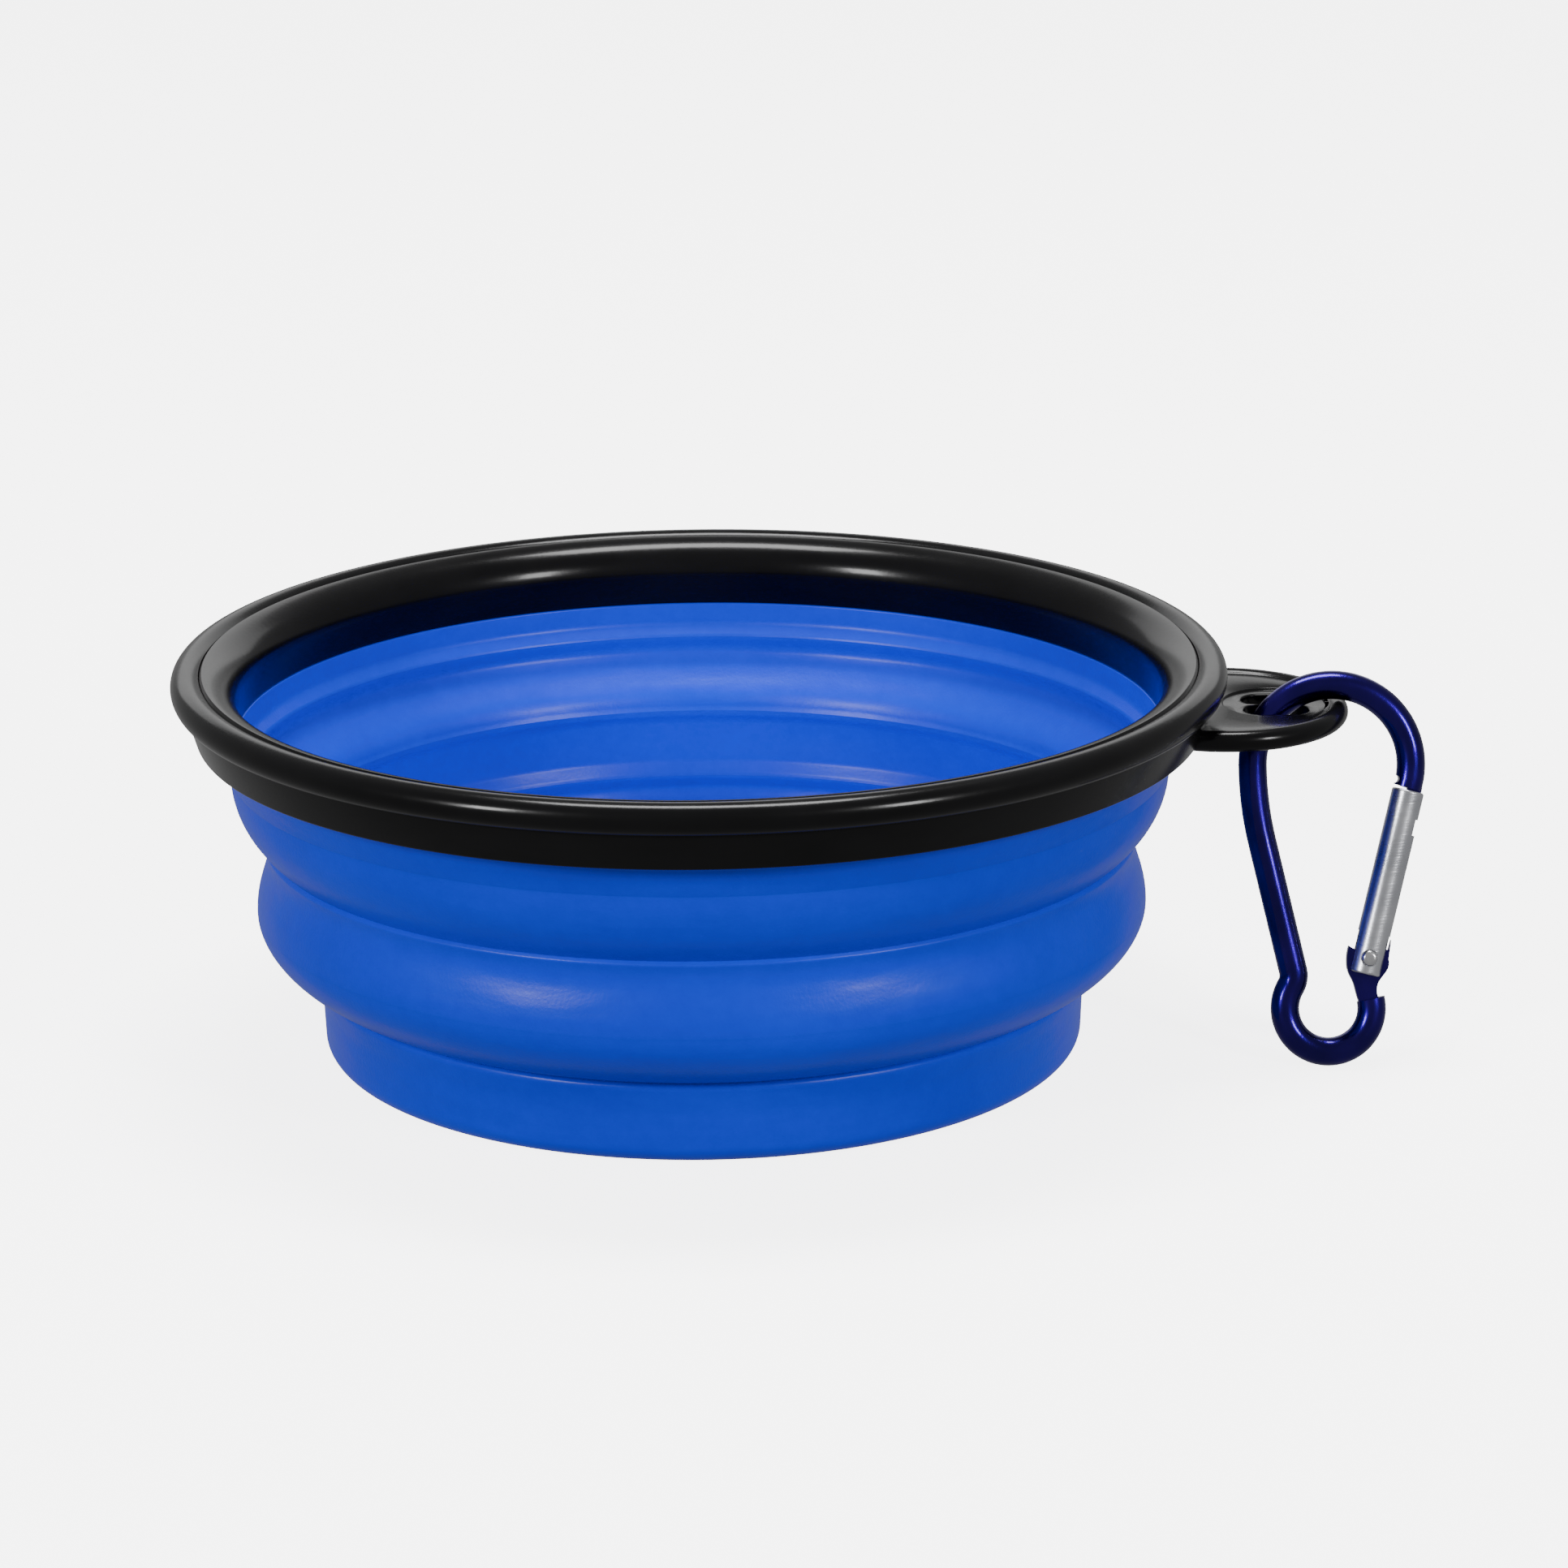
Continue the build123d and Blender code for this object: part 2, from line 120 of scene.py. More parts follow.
class Finish(Tree):
    # one material: fixed numbers go straight on the shader, patterns are linked in
    def __init__(self, name, fixed):
        self.material = bpy.data.materials.new(name)
        self.material.use_nodes = True
        super().__init__(self.material.node_tree)
        self.shader = self.tree.nodes["Principled BSDF"]
        for key, value in fixed.items():
            self.shader.inputs[key].default_value = value
        self.place = self.other(self.node("ShaderNodeTexCoord"), "Object")

    def noise(self, perMetre, detail=3.0, rough=0.5, stretch=None, turn=(0, 0, 0)):
        place = self.place
        if stretch:
            place = self.node("ShaderNodeMapping", {"vector_type": "POINT"}, {0: place, 2: turn, 3: stretch})
        return self.node("ShaderNodeTexNoise", {},
                         {"Vector": place, "Scale": perMetre, "Detail": detail, "Roughness": rough})

    def ramp(self, value, stops):
        return self.node("ShaderNodeValToRGB", {"stops": stops}, {"Fac": value})

    def blend(self, amount, first, second):
        return self.node("ShaderNodeMix", {"data_type": "RGBA"}, {0: amount, 6: first, 7: second}, out=2)

    def bump(self, height, distance, strength=1.0, over=None):
        values = {"Height": height, "Distance": distance, "Strength": strength}
        if over:
            values["Normal"] = over
        return self.node("ShaderNodeBump", {}, values)

    def feed(self, **links):
        for key, value in links.items():
            self.tree.links.new(value.socket, self.shader.inputs[key.replace("_", " ")])
        return self.material


# finishes: colours, and pattern sizes as noise cells per metre
siliconeLook = {
    "deep": (0.0, 0.018, 0.50, 1),
    "light": (0.0005, 0.050, 0.84, 1),
    "rough": 0.28,
    "cloud": 26,          # broad uneven colour
    "dust": 420,
    "grain": 2600,        # moulded micro texture
    "flow": 60,           # slow waves that break up the gloss
}


def siliconeFinish():
    look = siliconeLook
    finish = Finish("blueSilicone", {
        "Subsurface Weight": 0.12, "Subsurface Radius": (0.3, 0.6, 1.0), "Subsurface Scale": 0.0022,
        "Specular IOR Level": 0.26,
    })
    cloud = finish.noise(look["cloud"], detail=2.0)
    speck = finish.noise(look["dust"], detail=4.0, rough=0.6)
    grain = finish.noise(look["grain"], detail=2.0)
    flow = finish.noise(look["flow"], detail=2.0, stretch=(1, 1, 4))
    colour = finish.blend(cloud * 0.7 + speck * 0.3, look["deep"], look["light"])
    rough = look["rough"] + cloud * 0.06 + speck * 0.09
    fine = finish.bump(grain, 0.00003, 0.6)
    wavy = finish.bump(flow, 0.0006, 0.4, over=fine)
    return finish.feed(Base_Color=colour, Roughness=rough, Normal=wavy)


blackLook = {
    "deep": (0.002, 0.002, 0.0022),
    "light": (0.004, 0.004, 0.0045),
    "rough": 0.13,
    "coat": 0.02,
    "smear": 55,          # wiped streaks
    "speck": 1500,
    "swell": 34,          # shallow sink marks of the moulding
}


def blackFinish():
    look = blackLook
    finish = Finish("blackGloss", {"Specular IOR Level": 0.16, "Coat Roughness": 0.06})
    smear = finish.noise(look["smear"], detail=4.0, rough=0.6, stretch=(1, 1, 2.5))
    speck = finish.noise(look["speck"], detail=2.0)
    swell = finish.noise(look["swell"], detail=1.0)
    colour = finish.ramp(smear, [(0.3, look["deep"]), (0.8, look["light"])])
    rough = look["rough"] + smear * 0.12 + speck * 0.03
    coat = look["coat"] + smear * 0.06
    pitted = finish.bump(speck, 0.00001, 0.5)
    wavy = finish.bump(swell, 0.0004, 0.3, over=pitted)
    return finish.feed(Base_Color=colour, Roughness=rough, Coat_Weight=coat, Normal=wavy)


anodisedLook = {
    "deep": (0.008, 0.001, 0.09),
    "light": (0.018, 0.002, 0.17),
    "rough": 0.17,
    "cloud": 160,
    "drawn": 900,         # fine lines of the drawn bar
}


def anodisedFinish():
    look = anodisedLook
    finish = Finish("blueAnodised", {"Metallic": 1.0, "Coat Weight": 0.25, "Coat Roughness": 0.08})
    cloud = finish.noise(look["cloud"], detail=3.0)
    drawn = finish.noise(look["drawn"], detail=3.0, stretch=(6, 1, 1))
    colour = finish.ramp(cloud, [(0.25, look["deep"]), (0.75, look["light"])])
    rough = look["rough"] + cloud * 0.08 + drawn * 0.06
    return finish.feed(Base_Color=colour, Roughness=rough, Normal=finish.bump(drawn, 0.00002, 0.5))


gateLook = {
    "deep": (0.50, 0.51, 0.55),
    "light": (0.66, 0.67, 0.70),
    "rough": 0.2,
    "cloud": 300,
    "rings": 260,         # turning marks across the bar
}


def gateFinish(turn):
    look = gateLook
    finish = Finish("gateSilver", {"Metallic": 1.0})
    cloud = finish.noise(look["cloud"], detail=3.0)
    rings = finish.noise(look["rings"], detail=2.0, stretch=(1, 1, 22), turn=turn)
    colour = finish.ramp(cloud, [(0.2, look["deep"]), (0.8, look["light"])])
    rough = look["rough"] + cloud * 0.08 + rings * 0.1
    return finish.feed(Base_Color=colour, Roughness=rough, Normal=finish.bump(rings, 0.00004, 0.5))


steelLook = {
    "deep": (0.50, 0.50, 0.52),
    "light": (0.68, 0.68, 0.70),
    "rough": 0.16,
    "cloud": 500,
}


def steelFinish():
    look = steelLook
    finish = Finish("springSteel", {"Metallic": 1.0})
    cloud = finish.noise(look["cloud"], detail=3.0)
    colour = finish.ramp(cloud, [(0.2, look["deep"]), (0.8, look["light"])])
    return finish.feed(Base_Color=colour, Roughness=look["rough"] + cloud * 0.14,
                       Normal=finish.bump(cloud, 0.00002, 0.4))


floorLook = {
    "deep": (0.90, 0.90, 0.905),
    "light": (0.93, 0.93, 0.93),
    "glow": 4.5,
    "fibre": 40,
}


def floorFinish():
    look = floorLook
    finish = Finish("palePaper", {"Roughness": 0.9, "Specular IOR Level": 0.1,
                                  "Emission Color": (1, 1, 1, 1), "Emission Strength": look["glow"]})
    fibre = finish.noise(look["fibre"], detail=3.0)
    return finish.feed(Base_Color=finish.ramp(fibre, [(0.0, look["deep"]), (1.0, look["light"])]))


# the carabiner hangs in a leaning plane, with this normal and this upward direction
swing = joints["carabiner_swing"]
clipNormal = Vector(swing["axis"]).normalized()
clipUp = clipNormal.cross(Vector((1, 0, 0)))

silicone = siliconeFinish()
blackGloss = blackFinish()
anodised = anodisedFinish()
gateSilver = gateFinish((-asin(clipUp.y), 0, 0))
springSteel = steelFinish()
print("finishes made")


def groupInput(tree, name, kind, value=None):
    made = tree.interface.new_socket(name=name, in_out="INPUT", socket_type=kind)
    if value is not None:
        made.default_value = value
    return made.identifier


def finished(tree, mesh, material):
    # shade smooth but for real corners, then the ending that every tree has
    cornerAngle = radians(38)
    angle = tree.node("GeometryNodeInputMeshEdgeAngle")
    smooth = tree.node("GeometryNodeSetShadeSmooth", {"domain": "FACE"},
                       {"Geometry": mesh, "Shade Smooth": True})
    sharp = tree.node("GeometryNodeSetShadeSmooth", {"domain": "EDGE"},
                      {"Geometry": smooth, "Selection": angle > cornerAngle, "Shade Smooth": False})
    real = tree.node("GeometryNodeRealizeInstances", {}, {"Geometry": sharp})
    done = tree.node("GeometryNodeSetMaterial", {}, {"Geometry": real, "Material": material})
    tree.node("NodeGroupOutput", {}, {0: done})


def turnedTree():
    # spins an outline in the XZ plane round the upright axis
    group = bpy.data.node_groups.new("turnedPiece", "GeometryNodeTree")
    group.interface.new_socket(name="Geometry", in_out="OUTPUT", socket_type="NodeSocketGeometry")
    names = {
        "outline": groupInput(group, "Outline", "NodeSocketGeometry"),
        "steps": groupInput(group, "Steps Round", "NodeSocketInt", 256),
        "material": groupInput(group, "Material", "NodeSocketMaterial"),
    }
    tree = Tree(group)
    outline = tree.node("NodeGroupInput")
    steps = tree.other(outline, "Steps Round")
    count = tree.node("GeometryNodeAttributeDomainSize", {"component": "MESH"}, {"Geometry": outline})
    grid = tree.node("GeometryNodeMeshGrid", {}, {"Size X": 1.0, "Size Y": 1.0,
                                                  "Vertices X": steps + 1, "Vertices Y": count + 1})
    split = tree.node("ShaderNodeSeparateXYZ", {}, {0: tree.node("GeometryNodeInputPosition")})
    turn = (split + 0.5) * (2 * pi)
    number = tree.node("ShaderNodeMath", {"operation": "ROUND"}, {0: (tree.other(split, "Y") + 0.5) * count})
    point = tree.node("GeometryNodeSampleIndex", {"data_type": "FLOAT_VECTOR"},
                      {"Geometry": outline, "Value": tree.node("GeometryNodeInputPosition"),
                       "Index": number % count})
    at = tree.node("ShaderNodeSeparateXYZ", {}, {0: point})
    cosine = tree.node("ShaderNodeMath", {"operation": "COSINE"}, {0: turn})
    sine = tree.node("ShaderNodeMath", {"operation": "SINE"}, {0: turn})
    spot = tree.node("ShaderNodeCombineXYZ", {}, {0: at * cosine, 1: at * sine, 2: tree.other(at, "Z")})
    moved = tree.node("GeometryNodeSetPosition", {}, {"Geometry": grid, "Position": spot})
    merged = tree.node("GeometryNodeMergeByDistance", {}, {"Geometry": moved, "Distance": sameSpot})
    finished(tree, merged, tree.other(outline, "Material"))
    return group, names


def rodTree():
    # sweeps a round bar along a path; each path point scales its thickness
    group = bpy.data.node_groups.new("bentRod", "GeometryNodeTree")
    group.interface.new_socket(name="Geometry", in_out="OUTPUT", socket_type="NodeSocketGeometry")
    names = {
        "path": groupInput(group, "Path", "NodeSocketGeometry"),
        "radius": groupInput(group, "Bar Radius", "NodeSocketFloat", mm),
        "sides": groupInput(group, "Sides", "NodeSocketInt", 40),
        "material": groupInput(group, "Material", "NodeSocketMaterial"),
    }
    tree = Tree(group)
    path = tree.node("NodeGroupInput")
    ring = tree.node("GeometryNodeCurvePrimitiveCircle", {"mode": "RADIUS"},
                     {"Resolution": tree.other(path, "Sides"), "Radius": tree.other(path, "Bar Radius")})
    tube = tree.node("GeometryNodeCurveToMesh", {}, {"Curve": path, "Profile Curve": ring,
                                                     "Scale": tree.node("GeometryNodeInputRadius"),
                                                     "Fill Caps": True})
    finished(tree, tube, tree.other(path, "Material"))
    return group, names


turnedGroup, turnedInputs = turnedTree()
rodGroup, rodInputs = rodTree()


def runTree(source, group, settings):
    # evaluates a tree on a source object and leaves a plain mesh object in its place
    modifier = source.modifiers.new("build", "NODES")
    modifier.node_group = group
    for key, value in settings.items():
        modifier[key] = value
    bpy.context.view_layer.update()
    evaluated = source.evaluated_get(bpy.context.evaluated_depsgraph_get())
    mesh = bpy.data.meshes.new_from_object(evaluated)
    source.modifiers.remove(modifier)
    name = source.name
    bpy.data.objects.remove(source)
    return addPiece(name, mesh)


def addPiece(name, mesh):
    mesh.name = name
    piece = bpy.data.objects.new(name, mesh)
    scene.collection.objects.link(piece)
    return piece


def cleanMesh(mesh):
    # closes seams and poles, drops loose edges and turns the faces outwards
    work = bmesh.new()
    work.from_mesh(mesh)
    bmesh.ops.remove_doubles(work, verts=work.verts, dist=sameSpot)
    bmesh.ops.dissolve_degenerate(work, edges=work.edges, dist=sameSpot / 2)
    loose = [edge for edge in work.edges if not edge.link_faces]
    bmesh.ops.delete(work, geom=loose, context="EDGES")
    stray = [vertex for vertex in work.verts if not vertex.link_faces]
    bmesh.ops.delete(work, geom=stray, context="VERTS")
    bmesh.ops.recalc_face_normals(work, faces=work.faces)
    work.to_mesh(mesh)
    work.free()


def softened(points):
    # a closed outline; a point's third number rounds that corner off by so many millimetres
    corners = []
    count = len(points)
    share = 0.48          # a corner takes at most this much of an edge
    steps = 5
    for index, point in enumerate(points):
        if len(point) == 2:
            corners.append(Vector(point))
            continue
        here = Vector(point[:2])
        before = Vector(points[index - 1][:2]) - here
        after = Vector(points[(index + 1) % count][:2]) - here
        size = min(point[2], share * before.length, share * after.length)
        start = here + before.normalized() * size
        end = here + after.normalized() * size
        for step in range(steps + 1):
            t = step / steps
            corners.append(start * (1 - t) ** 2 + here * 2 * t * (1 - t) + end * t * t)
    return corners


def curve(a, b, c, d, steps=18):
    # points on a smooth curve from a to d, without the last one
    a, b, c, d = Vector(a), Vector(b), Vector(c), Vector(d)
    line = []
    for step in range(steps):
        t = step / steps
        u = 1 - t
        line.append(tuple(a * u**3 + b * 3 * u * u * t + c * 3 * u * t * t + d * t**3))
    return line


def arc(centre, radius, start, end, steps=12):
    # points on an arc in degrees, both ends included
    line = []
    for step in range(steps + 1):
        angle = radians(start + (end - start) * step / steps)
        line.append((centre[0] + radius * cos(angle), centre[1] + radius * sin(angle)))
    return line


def turnedPiece(name, outline, material, steps=256):
    corners = softened(outline)
    mesh = bpy.data.meshes.new(name + "Outline")
    edges = [(index, (index + 1) % len(corners)) for index in range(len(corners))]
    mesh.from_pydata([(c.x * mm, 0, c.y * mm) for c in corners], edges, [])
    source = bpy.data.objects.new(name, mesh)
    scene.collection.objects.link(source)
    piece = runTree(source, turnedGroup, {turnedInputs["steps"]: steps, turnedInputs["material"]: material})
    cleanMesh(piece.data)
    return piece


# sizes of the silicone bowl, in millimetres
bowl = {
    "footRound": 2.3,
    "footFlare": 0.8,
    "footPad": 14,        # width of the ring that the bowl stands on
    "foldWall": 1.5,
    "tierWall": 2.3,
    "floorWall": 2.4,
    "crease": 0.4,
    "ridgeStep": 1.25,
    "bandWall": 1.2,      # band stands this far outside the skirt's inner wall
    "bandFlare": 1.4,
    "relief": 1.1,        # how far the lips inside stand out from the wall
}
# sizes of the rim; insets are measured from the bead's outside
rim = {
    "beadRadius": 2.0,
    "seamInset": 3.5,
    "skirtInset": 8.2,
    "skirtWall": 1.5,
    "collarInset": 3.0,
    "collarWall": 1.2,
    "collarTaper": 1.35,
    "clampGap": 0.05,
    "lipDrop": 2.2,       # from the silicone flange's top to the shoulder that it hooks over
    "shoulder": 0.6,
    "flangeRise": 0.9,
    "seamDepth": 0.35,
    "edge": 0.4,
    "steps": 288,
}
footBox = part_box("bowl_foot")
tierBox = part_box("middle_tier")
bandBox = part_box("upper_band")
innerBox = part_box("rim_inner_ring")
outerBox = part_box("rim_outer_ring")
footTop = footBox[1].z / mm
tierLow = tierBox[0].z / mm
tierHigh = tierBox[1].z / mm
bandLow = bandBox[0].z / mm
bandHigh = bandBox[1].z / mm
skirtLow = innerBox[0].z / mm
rimHigh = outerBox[1].z / mm
footWide = footBox[1].y / mm - bowl["footFlare"]
tierWide = tierBox[1].y / mm
rimWide = outerBox[1].y / mm
skirtIn = rimWide - rim["skirtInset"]
skirtOut = skirtIn + rim["skirtWall"]
seamWide = rimWide - rim["seamInset"]
collarIn = rimWide - rim["collarInset"] - rim["collarWall"]
ridgeWide = tierWide - bowl["ridgeStep"]
bandWide = skirtIn + bowl["bandWall"]
wallIn = tierWide - bowl["tierWall"]
lowerRise = tierLow - footTop
tierRise = tierHigh - tierLow
upperRise = bandLow - tierHigh
widest = tierLow + 0.8
flare = bowl["footFlare"]
crease = bowl["crease"]
relief = bowl["relief"]
lipIn = skirtIn - relief
sillIn = ridgeWide - bowl["tierWall"] + 0.2
shelfIn = wallIn - 0.7 * relief
# where neighbouring bands meet, outside and inside
footOut = (footWide + flare - crease - 0.1, footTop)
footIn = (footWide - 0.3, footTop)
shelfTop = (shelfIn - 0.1, tierLow)
ridgeOut = (ridgeWide - 0.2, tierHigh)
sillTop = (sillIn - 0.2, tierHigh)
bandOut = (bandWide, bandLow)
lipTop = (lipIn - 0.1, bandLow)


def footOutline():
    lip = footWide + flare
    return [
        (0, 0),
        (footWide - bowl["footRound"] - bowl["footPad"], 0),
        *arc((footWide - bowl["footRound"], bowl["footRound"]), bowl["footRound"], -90, 0),
        (footWide + 0.2, footTop * 0.66, 1.0),
        (lip, footTop - 0.85, 0.5),
        (lip - 0.1, footTop - 0.4, 0.2),
        footOut,
        footIn,
        (footWide - bowl["tierWall"], footTop - 0.6, 0.3),
        *arc((footWide - bowl["tierWall"] - bowl["footRound"], bowl["floorWall"] + bowl["footRound"]),
             bowl["footRound"], 0, -90),
        (0, bowl["floorWall"]),
    ]


def lowerFoldOutline():
    step = tierWide - footWide
    return [
        *curve(footOut, (tierWide - 0.45 * step, footTop + 0.17 * lowerRise),
               (tierWide, footTop + 0.6 * lowerRise), (tierWide, tierLow)),
        (tierWide, tierLow),
        shelfTop,
        (shelfIn, tierLow - 0.4, 0.3),
        (wallIn + 0.3, tierLow - 1.8, 0.9),
        *curve((wallIn + 0.1, tierLow - 2.6), (wallIn - 0.4, footTop + 0.5 * lowerRise),
               (tierWide - 0.55 * step, footTop + 0.36 * lowerRise),
               (footWide, footTop + bowl["foldWall"]), 12),
        (footWide, footTop + bowl["foldWall"]),
        footIn,
    ]


def middleOutline():
    return [
        shelfTop,
        *curve((tierWide, tierLow), (tierWide, widest + 0.36 * tierRise),
               (ridgeWide - 1.0, widest + 0.56 * tierRise), (ridgeWide + 0.15, tierHigh - 0.5)),
        (ridgeWide + 0.15, tierHigh - 0.45, 0.2),
        ridgeOut,
        sillTop,
        (sillIn - 0.1, tierHigh - 0.7, 0.4),
        *curve((sillIn + 0.7, tierHigh - 1.6), (wallIn + 0.1, tierHigh - 3.0),
               (wallIn + 0.1, tierLow + 4.0), (wallIn, tierLow + 2.0), 10),
        (wallIn, tierLow + 1.9, 0.6),
        (shelfIn, tierLow + 0.4, 0.4),
    ]


def upperFoldOutline():
    reach = bandWide - ridgeWide
    return [
        ridgeOut,
        *curve((ridgeWide + 0.05, tierHigh + 0.25), (ridgeWide + 0.6 * reach, tierHigh + 0.27 * upperRise),
               (bandWide, tierHigh + 0.56 * upperRise), bandOut),
        bandOut,
        lipTop,
        (lipIn, bandLow - 0.4, 0.3),
        (skirtIn - 0.2, bandLow - 1.9, 1.2),
        (skirtIn - 0.9, bandLow - 3.2, 1.0),
        *curve((skirtIn - 1.9, bandLow - 4.4), (skirtIn - 3.3, tierHigh + 0.36 * upperRise),
               (sillIn + 0.2, tierHigh + 0.26 * upperRise), (sillIn, tierHigh + 0.5), 8),
        (sillIn, tierHigh + 0.5, 0.3),
        sillTop,
    ]


def bandOutline():
    gap = rim["clampGap"]
    lipLow = bandHigh - rim["lipDrop"]
    return [
        bandOut,
        (bandWide + bowl["bandFlare"], skirtLow - 0.3, 0.6),
        (collarIn - gap, skirtLow + 0.2, 0.3),
        (collarIn - gap, lipLow - rim["shoulder"] + gap),
        (seamWide - gap, lipLow + gap, 0.3),
        (seamWide - gap, bandHigh, 0.3),
        (skirtOut + 0.4, bandHigh, 0.2),
        (skirtOut + gap, bandHigh - 0.9),
        (skirtOut + gap, skirtLow),
        (skirtIn, skirtLow, 0.25),
        (skirtIn, bandLow + 1.5, 0.5),
        (lipIn, bandLow + 0.3, 0.3),
        lipTop,
    ]


def siliconePiece(name, outline, node):
    piece = turnedPiece(name, outline, silicone)
    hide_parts(node)
    return piece


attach(siliconePiece("footAndFloor", footOutline(), "bowl_foot"), "foot")
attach(siliconePiece("middleTier", middleOutline(), "middle_tier"), "middle")
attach(siliconePiece("rimBand", bandOutline(), "upper_band"), "rim")
lowerSweep = siliconePiece("lowerSweep", lowerFoldOutline(), "lower_fold")
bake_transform(lowerSweep)
upperSweep = siliconePiece("upperSweep", upperFoldOutline(), "upper_fold")
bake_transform(upperSweep)
print("silicone made")

# the inner ring's rounded crown is a quarter circle
crown = seamWide - skirtIn
crownLow = rimHigh - rim["seamDepth"] - crown


def innerRingOutline():
    wall = rim["skirtWall"]
    leg = wall - 0.2
    hollow = crown - wall
    flangeHigh = crownLow + rim["flangeRise"]
    return [
        (skirtIn, crownLow),
        (skirtIn + 0.1, skirtLow, 0.35),
        (skirtOut, skirtLow, 0.35),
        *arc((seamWide, crownLow), hollow, 180, 180 - degrees(acos(leg / hollow)), 8),
        (seamWide - leg, flangeHigh),
        (seamWide, flangeHigh),
        (seamWide, crownLow + crown - rim["edge"] - 0.1, 0.15),
        *arc((seamWide, crownLow), crown, 90 + degrees(asin(rim["edge"] / crown)), 180, 28)[:-1],
    ]


def outerRingOutline():
    bead = rim["beadRadius"]
    centre = (rimWide - bead, rimHigh - bead)
    collar = rimWide - rim["collarInset"]
    seamAngle = 180 - degrees(acos((centre[0] - seamWide) / bead))
    low = -80
    turn = (centre[0] + bead * cos(radians(low)), centre[1] + bead * sin(radians(low)))
    lip = bandHigh - rim["lipDrop"]
    return [
        (seamWide, centre[1] + bead * sin(radians(seamAngle)) - 0.1),
        (seamWide, lip),
        (collarIn, lip - rim["shoulder"]),
        (collarIn, skirtLow + 0.2, 0.2),
        (collar, skirtLow + 0.2, 0.3),
        (collar + rim["collarTaper"], turn[1] - 0.05, 0.04),
        *arc(centre, bead, low, seamAngle, 40),
    ]


innerRing = turnedPiece("rimInnerRing", innerRingOutline(), blackGloss, rim["steps"])
outerRing = turnedPiece("rimOuterRing", outerRingOutline(), blackGloss, rim["steps"])
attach(innerRing, "rim")
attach(outerRing, "rim")
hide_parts("rim_inner_ring")
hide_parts("rim_outer_ring")

# sizes of the carry tab, in millimetres and degrees
tab = {
    "radius": 15.75,
    "inset": 0.5,
    "edge": 1.35,
    "web": 1.7,
    "rise": 1.0,
    "holeCentre": 71.72,
    "holeLong": 4.07,
    "holeWide": 4.54,
    "recess": 6.5,
    "recessDepth": 0.3,
    "slope": 0.1,         # lean of the recess's wall
    "bury": 0.6,          # the tab starts this far inside the collar
    "border": 0.9,        # flat border that follows the hole
    "margin": 0.5,        # flat strip inside the rolled edge
    "roundWide": 0.22,
    "roundDeep": 0.2,
    "soft": 0.06,         # middle of each rounded corner, across and down
    "lobeSteps": 22,
    "edgeSteps": 24,
    "sharp": 50,
}


def holeEdge():
    # the four-lobed hole, as points round its middle
    lobe = tab["holeWide"] / 2
    shift = tab["holeLong"] - lobe
    spots = []
    for side in (1, -1):
        for up in (1, -1) if side > 0 else (-1, 1):
            first, last = (90, -90) if side > 0 else (-90, -270)
            spots += arc((side * shift, up * lobe), lobe, first, last, tab["lobeSteps"])
    return spots


def evenRing(spots):
    # splits the wide gaps in direction, so that the outer edge stays round
    widestGap = 2
    ring = []
    for index, spot in enumerate(spots):
        after = spots[(index + 1) % len(spots)]
        gap = abs(degrees(Vector(spot).angle(Vector(after))))
        parts = max(1, round(gap / widestGap))
        ring += [tuple(Vector(spot).lerp(Vector(after), part / parts)) for part in range(parts)]
    return ring


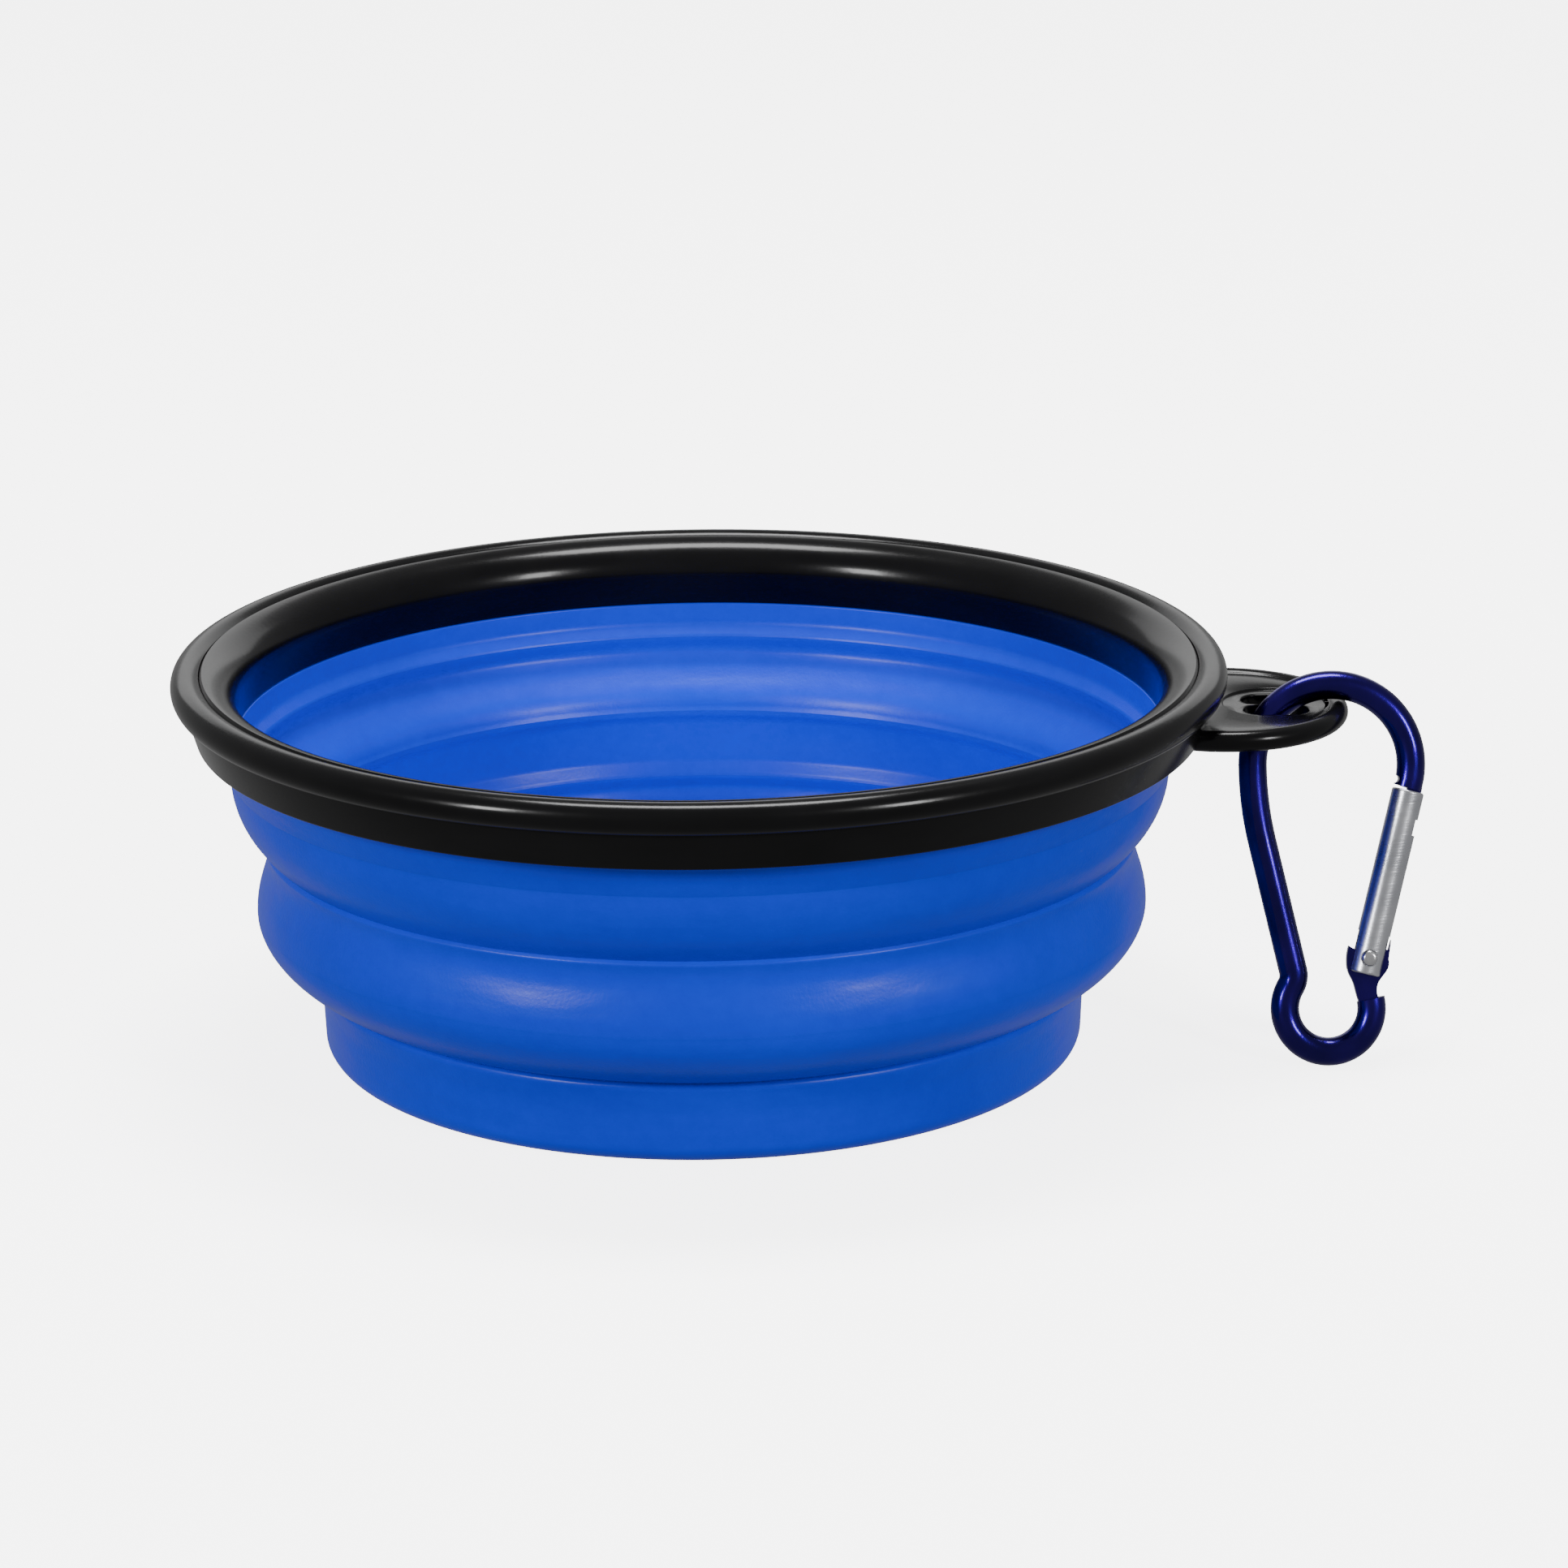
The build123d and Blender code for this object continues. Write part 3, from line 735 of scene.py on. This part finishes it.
def tabPiece():
    middle = skirtLow + tab["rise"]
    half = tab["web"] / 2
    centre = rimWide - tab["inset"]
    inner = tab["radius"] - tab["edge"]
    soft = tab["soft"]
    recess = tab["recess"]
    keepOut = collarIn + tab["bury"]
    nearest = 0.02
    plain = []
    for spot in holeEdge():
        if not plain or hypot(spot[0] - plain[-1][0], spot[1] - plain[-1][1]) > nearest:
            plain.append(spot)
    plain = evenRing(plain[::-1])
    rings = []

    def ring(height, spots):
        rings.append([(tab["holeCentre"] + x, y, height) for x, y in spots])

    def grown(amount):
        # the hole's edge, moved outwards
        return [(x * (1 + amount / hypot(x, y)), y * (1 + amount / hypot(x, y))) for x, y in plain]

    def disc(radius):
        # a circle round the hole's middle
        spots = []
        for x, y in plain:
            away = hypot(x, y)
            spots.append((x / away * radius, y / away * radius))
        return spots

    def outer(radius):
        # a circle round the tab's middle
        offset = centre - tab["holeCentre"]
        spots = []
        for x, y in plain:
            away = hypot(x, y)
            u, v = x / away, y / away
            along = u * offset
            reach = along + sqrt(along * along - offset * offset + radius * radius)
            spots.append((u * reach, v * reach))
        return spots

    top = middle + half
    low = middle - half
    floorTop = top - tab["recessDepth"]
    base = degrees(asin(half / tab["edge"]))
    root = tab["edge"] * cos(radians(base))
    strip = inner - root - tab["margin"]
    # up through the hole, over the recess, round the rolled edge and back underneath
    ring(low + tab["roundDeep"], grown(0))
    ring(floorTop - tab["roundDeep"], grown(0))
    ring(floorTop - soft, grown(soft))
    ring(floorTop, grown(tab["roundWide"]))
    ring(floorTop, grown(tab["border"]))
    ring(floorTop, disc(recess - tab["slope"]))
    ring(floorTop + soft, disc(recess))
    ring(top - soft, disc(recess + tab["slope"]))
    ring(top, disc(recess + tab["roundWide"]))
    ring(top, outer(strip))
    for step in range(tab["edgeSteps"] + 1):
        angle = radians(180 - base - (360 - 2 * base) * step / tab["edgeSteps"])
        ring(middle + tab["edge"] * sin(angle), outer(inner + tab["edge"] * cos(angle)))
    ring(low, outer(strip))
    ring(low, grown(tab["border"]))
    ring(low, grown(tab["roundWide"]))
    ring(low + soft, grown(soft))
    verts = []
    for line in rings:
        for x, y, z in line:
            away = hypot(x, y)
            if away < keepOut:
                x, y = x / away * keepOut, y / away * keepOut
            verts.append((x * mm, y * mm, z * mm))
    count = len(plain)
    faces = []
    for row in range(len(rings)):
        nextRow = (row + 1) % len(rings)
        for step in range(count):
            other = (step + 1) % count
            faces.append((row * count + step, row * count + other,
                          nextRow * count + other, nextRow * count + step))
    mesh = bpy.data.meshes.new("carryTab")
    mesh.from_pydata(verts, [], faces)
    cleanMesh(mesh)
    mesh.shade_smooth()
    mesh.set_sharp_from_angle(angle=radians(tab["sharp"]))
    mesh.materials.append(blackGloss)
    return addPiece("carryTab", mesh)


carryTab = tabPiece()
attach(carryTab, "rim")
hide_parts("rim_outer_ring")
print("rim made")

# the carabiner keeps its shapes and gets new materials
for nodeName, material in {
    "carabiner_frame": anodised,
    "carabiner_gate": gateSilver,
    "gate_rivet": springSteel,
    "gate_plunger": springSteel,
}.items():
    for holder in frame["nodes"][nodeName].material_slots:
        holder.material = material

# sizes of the gate's spring, in millimetres
spring = {
    "wire": 0.17,         # radius
    "coil": 0.85,         # mean radius
    "turns": 8,
    "foot": 3.45,         # along the gate, from its rivet
    "length": 8.8,
    "steps": 20,          # points in each turn
    "sides": 10,
}


def gateSpring():
    # a coil inside the gate
    along = Vector(joints["plunger_slide"]["axis"]).normalized()
    side = clipNormal.cross(along)
    foot = Vector(joints["gate_hinge"]["pos_m"]) + along * spring["foot"] * mm
    top = foot + along * spring["length"] * mm
    path = bpy.data.curves.new("gateSpring", "CURVE")
    path.dimensions = "3D"
    line = path.splines.new("POLY")
    count = spring["turns"] * spring["steps"]
    line.points.add(count)
    for step in range(count + 1):
        angle = 2 * pi * step / spring["steps"]
        out = (clipNormal * cos(angle) + side * sin(angle)) * spring["coil"] * mm
        line.points[step].co = (*(foot.lerp(top, step / count) + out), 1)
    source = bpy.data.objects.new("gateSpring", path)
    scene.collection.objects.link(source)
    coil = runTree(source, rodGroup, {rodInputs["radius"]: spring["wire"] * mm,
                                      rodInputs["sides"]: spring["sides"],
                                      rodInputs["material"]: springSteel})
    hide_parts("gate_spring")
    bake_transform(coil)


gateSpring()
print("carabiner made")

# floor, light and camera, in metres and watts
studio = {
    "floor": 8,
    "world": 0.36,
    "aim": (0, 0, 0.03),
}
bpy.ops.mesh.primitive_plane_add(size=studio["floor"], location=(0, 0, 0))
floor = bpy.context.object
floor.name = "paleFloor"
floor.data.materials.append(floorFinish())
floor.visible_diffuse = False
floor.visible_glossy = False

world = bpy.data.worlds.new("studio")
world.use_nodes = True
background = world.node_tree.nodes["Background"]
background.inputs["Color"].default_value = (1, 1, 1, 1)
background.inputs["Strength"].default_value = studio["world"]
scene.world = world


def softLight(name, place, size, power):
    lamp = bpy.data.lights.new(name, "AREA")
    lamp.shape = "RECTANGLE"
    lamp.size, lamp.size_y = size
    lamp.energy = power
    holder = bpy.data.objects.new(name, lamp)
    holder.location = place
    holder.rotation_mode = "QUATERNION"
    holder.rotation_quaternion = (Vector(studio["aim"]) - Vector(place)).to_track_quat("-Z", "Y")
    holder.visible_camera = False
    scene.collection.objects.link(holder)


softLight("keySoftbox", (0, 0.18, 0.97), (0.5, 0.26), 12)
softLight("leftSoftbox", (-0.62, -0.62, 0.42), (0.14, 0.22), 5.5)
softLight("rightSoftbox", (0.62, -0.62, 0.42), (0.14, 0.22), 4.5)
softLight("backSoftbox", (0, 0.95, 0.4), (1.2, 0.35), 1.5)

view = {
    "elevation": 16.66,
    "roll": -0.492,
    "distance": 0.723,
    "target": (0.01043, 0, 0.03303),
    "lens": 132.56,
    "sensor": 36,
}
tilt = radians(view["elevation"])
roll = radians(view["roll"])
ahead = Vector((0, cos(tilt), -sin(tilt)))
upright = Vector((0, sin(tilt), cos(tilt)))
right = Vector((1, 0, 0))
camRight = right * cos(roll) + upright * sin(roll)
camUp = upright * cos(roll) - right * sin(roll)
lens = bpy.data.cameras.new("productCamera")
lens.lens = view["lens"]
lens.sensor_width = view["sensor"]
lens.clip_start = 0.01
lens.clip_end = 20
camera = bpy.data.objects.new("productCamera", lens)
place = Vector(view["target"]) - ahead * view["distance"]
camera.matrix_world = Matrix.Translation(place) @ Matrix(
    ((camRight.x, camUp.x, -ahead.x), (camRight.y, camUp.y, -ahead.y), (camRight.z, camUp.z, -ahead.z))
).to_4x4()
scene.collection.objects.link(camera)
scene.camera = camera
print("studio made")
